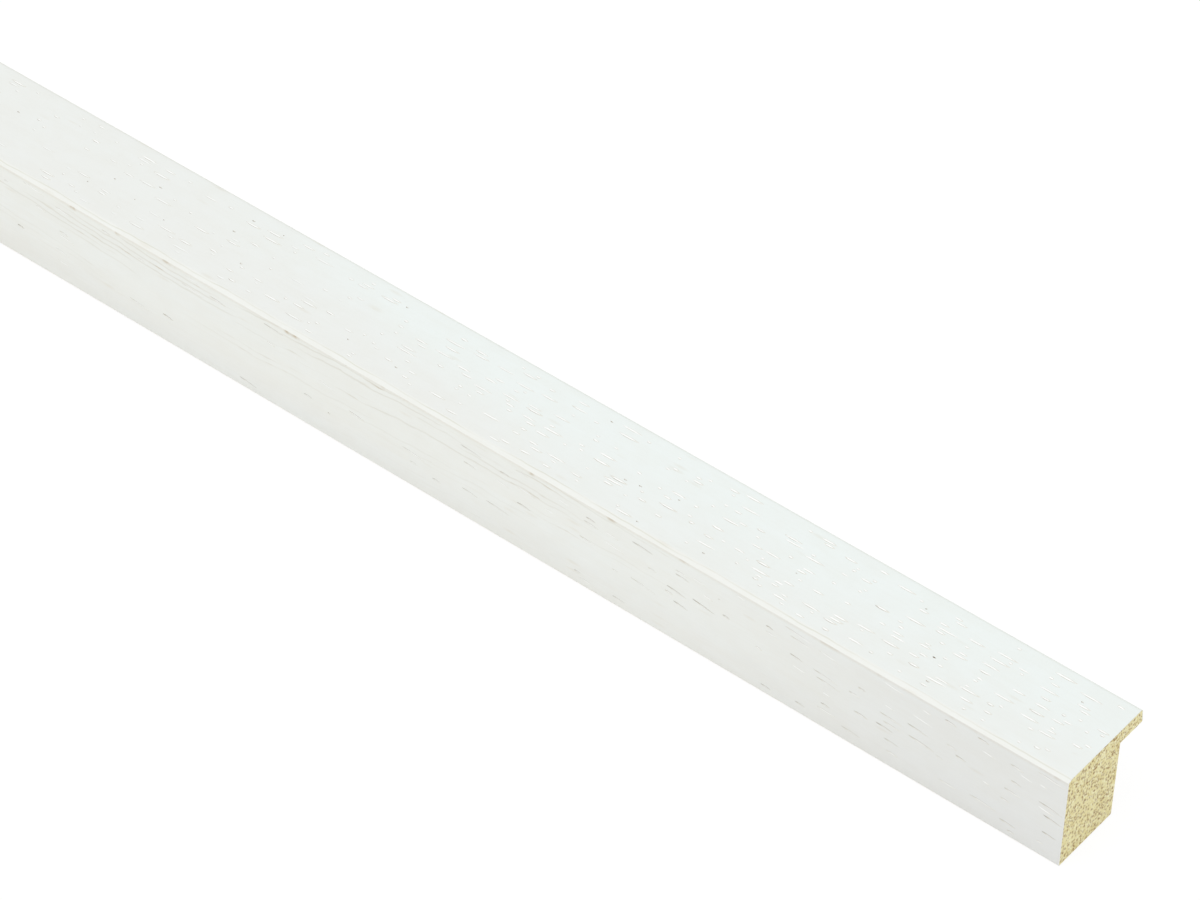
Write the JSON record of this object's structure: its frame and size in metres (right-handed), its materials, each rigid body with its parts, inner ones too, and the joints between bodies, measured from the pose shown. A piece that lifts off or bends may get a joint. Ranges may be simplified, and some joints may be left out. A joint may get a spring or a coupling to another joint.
{
  "type": "picture frame moulding",
  "caption": "Straight length of painted open-grain wood picture frame moulding: flat face, eased outer arris, thin lip over a rebate for glass and backing, bare sawn ends.",
  "frame": {"origin": "on the resting surface, under the middle of the stick's length and of its 20 mm face width", "axes": "+X along the length, +Y across the section from the outer side to the lip, +Z from the back up to the face"},
  "size_m": [2.4, 0.02, 0.019],
  "materials": {
    "painted_wood": "satin"
  },
  "bodies": {
    "root": {"moulding": "painted_wood"}
  },
  "joints": []
}
